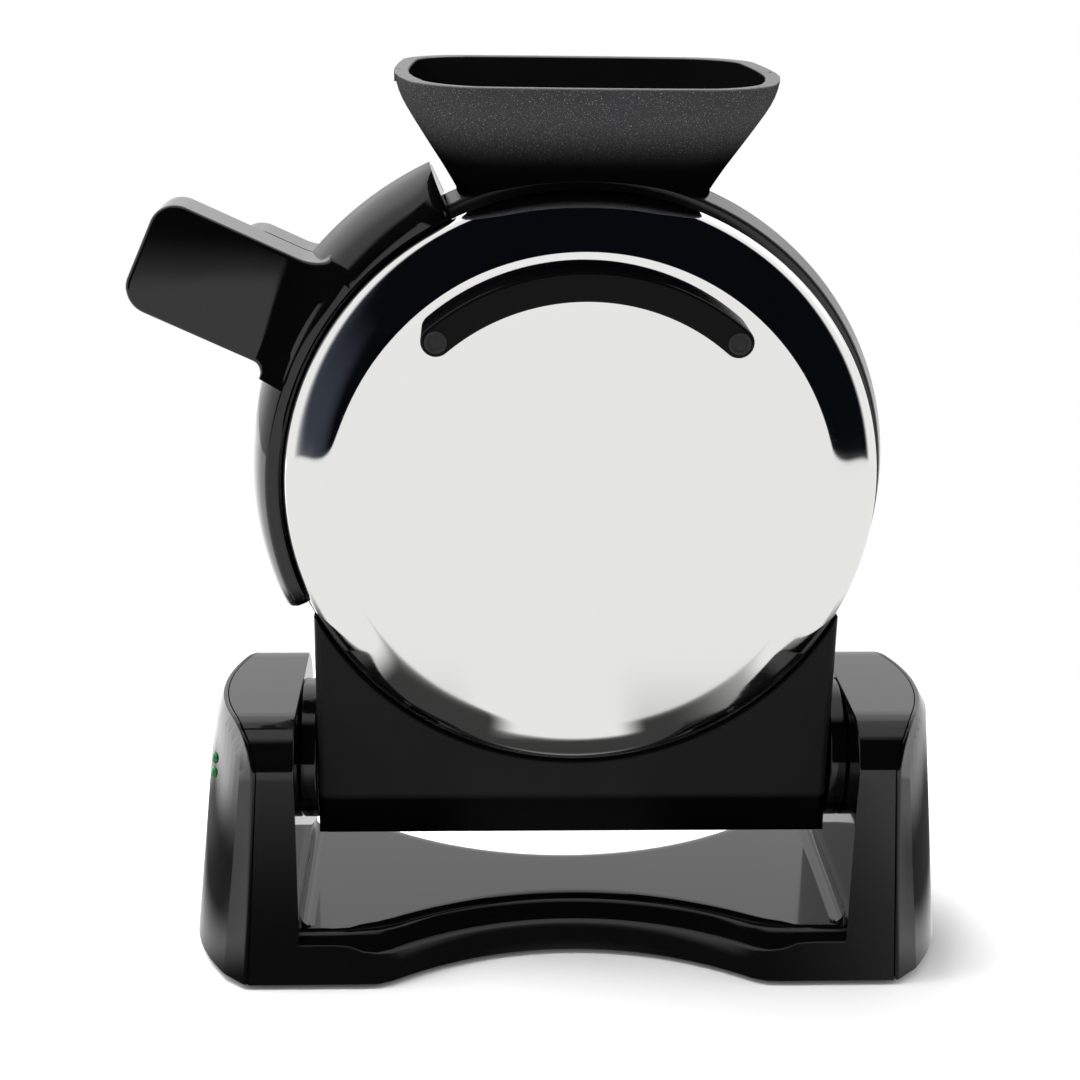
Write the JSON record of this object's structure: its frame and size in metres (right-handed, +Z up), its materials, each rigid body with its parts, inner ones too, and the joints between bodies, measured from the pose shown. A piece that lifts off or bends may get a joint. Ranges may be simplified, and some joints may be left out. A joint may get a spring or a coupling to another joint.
{
  "type": "vertical waffle maker",
  "caption": "Upright electric waffle iron on a low two-post base, filled from a funnel spout on top; the front half folds forward and down on side hubs.",
  "frame": {"origin": "on the table, under the middle of the part's overall length and depth; Y = 0 is the plane where the two halves of the iron part", "axes": "+Z up, -Y towards the front cover, the handle on the -X side"},
  "size_m": [0.3428, 0.136, 0.3774],
  "materials": {
    "gloss_housing": "polished black moulding",
    "gloss_cap": "polished black moulding",
    "gloss_hub": "polished black moulding",
    "gloss_cradle": "polished black moulding",
    "gloss_handle": "polished black moulding",
    "matte_bezel": "satin black moulding",
    "spout_plastic": "finely grained matte black moulding",
    "bar_plastic": "satin black moulding",
    "matte_inner": "matte black moulding",
    "cover_steel": "pressed steel, satin face and polished shoulder",
    "screw_steel": "bright zinc plated",
    "element_steel": "drawn steel sheath",
    "shield_aluminium": "pressed sheet",
    "nonstick_plate": "die cast with a dark nonstick coat",
    "foot_rubber": "moulded black rubber",
    "green_lens": "clear green light guide",
    "circuit_board": "solder masked board",
    "terminal_plastic": "ivory moulding"
  },
  "bodies": {
    "base": {"base_housing": "gloss_housing", "left_side_cap": "gloss_cap", "right_side_cap": "gloss_cap", "bottom_plate": "matte_inner", "left_front_rubber_foot": "foot_rubber", "left_rear_rubber_foot": "foot_rubber", "right_front_rubber_foot": "foot_rubber", "right_rear_rubber_foot": "foot_rubber", "left_post_screw": "screw_steel", "left_bridge_screw": "screw_steel", "right_post_screw": "screw_steel", "right_bridge_screw": "screw_steel", "power_lens": "green_lens", "ready_lens": "green_lens", "control_board": "circuit_board", "terminal_block": "terminal_plastic", "cord_gland": "foot_rubber", "left_hinge_hub": "gloss_hub", "right_hinge_hub": "gloss_hub", "left_hinge_pin": "screw_steel", "right_hinge_pin": "screw_steel", "left_rear_bracket": "gloss_cradle", "right_rear_bracket": "gloss_cradle", "left_lower_bracket_screw": "screw_steel", "left_upper_bracket_screw": "screw_steel", "right_lower_bracket_screw": "screw_steel", "right_upper_bracket_screw": "screw_steel", "rear_cover": "cover_steel", "rear_bezel": "matte_bezel", "rear_baking_plate": "nonstick_plate", "rear_heating_element": "element_steel", "rear_heat_shield": "shield_aluminium", "rear_spout_half": "spout_plastic", "rear_handle": "gloss_handle", "thermostat": "matte_inner", "thermal_fuse": "element_steel"},
    "front_half": {"front_cover": "cover_steel", "front_bezel": "matte_bezel", "front_baking_plate": "nonstick_plate", "front_heating_element": "element_steel", "front_heat_shield": "shield_aluminium", "front_spout_half": "spout_plastic", "front_handle": "gloss_handle", "cradle": "gloss_cradle", "cradle_back": "matte_inner", "foot_bar": "bar_plastic", "left_bar_pad": "foot_rubber", "right_bar_pad": "foot_rubber"},
    "latch": {"latch_slide": "matte_inner"}
  },
  "joints": [
    {"name": "front_fold", "type": "hinge", "parent": "base", "child": "front_half", "pos_m": [0.0062, 0, 0.0895], "axis": [1, 0, 0], "range_deg": [0, 92]},
    {"name": "latch_slide", "type": "slide", "parent": "base", "child": "latch", "axis": [-0.91, 0, 0.4147], "range_m": [0, 0.0045], "stiffness_N_per_m": 300, "springref_m": -0.003}
  ]
}
